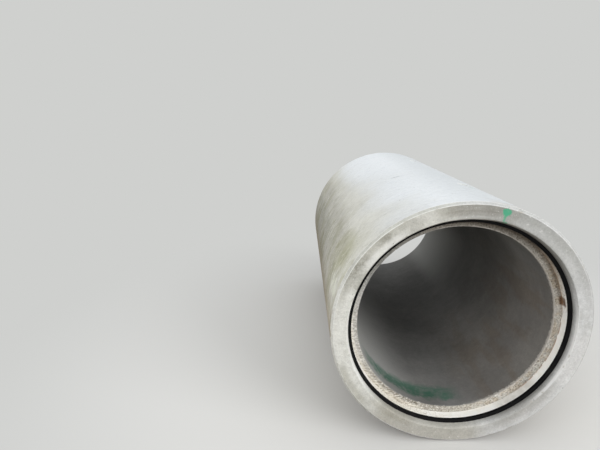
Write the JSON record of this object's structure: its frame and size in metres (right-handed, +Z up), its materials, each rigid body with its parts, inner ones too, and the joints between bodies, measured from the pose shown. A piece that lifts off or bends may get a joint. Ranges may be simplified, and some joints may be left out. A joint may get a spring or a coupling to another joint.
{
  "type": "concrete culvert pipe",
  "caption": "Round precast concrete pipe for culverts and drains, with an in-wall socket, black rubber joint ring, pale foam ring and a tongue at the far end.",
  "frame": {"origin": "on the ground, under the middle of the pipe's whole length", "axes": "+Z up; +Y along the pipe's axis, from the socket end to the tongue end; +X to the right for someone who looks into the socket"},
  "size_m": [1.2898, 2.345, 1.2898],
  "materials": {
    "concrete": "cast grey concrete, pale and matt, with pores, scuffs and dirt",
    "joint_rubber": "deep black, slightly sheeny",
    "foam": "cream foam, matt, dirty at the top and rust-stained at one side",
    "anchor_steel": "dull forged steel with a little rust"
  },
  "bodies": {
    "root": {"concrete_pipe": "concrete", "joint_gasket": "joint_rubber", "foam_ring": "foam", "lifting_anchor_near": "anchor_steel", "lifting_anchor_far": "anchor_steel"}
  },
  "joints": []
}
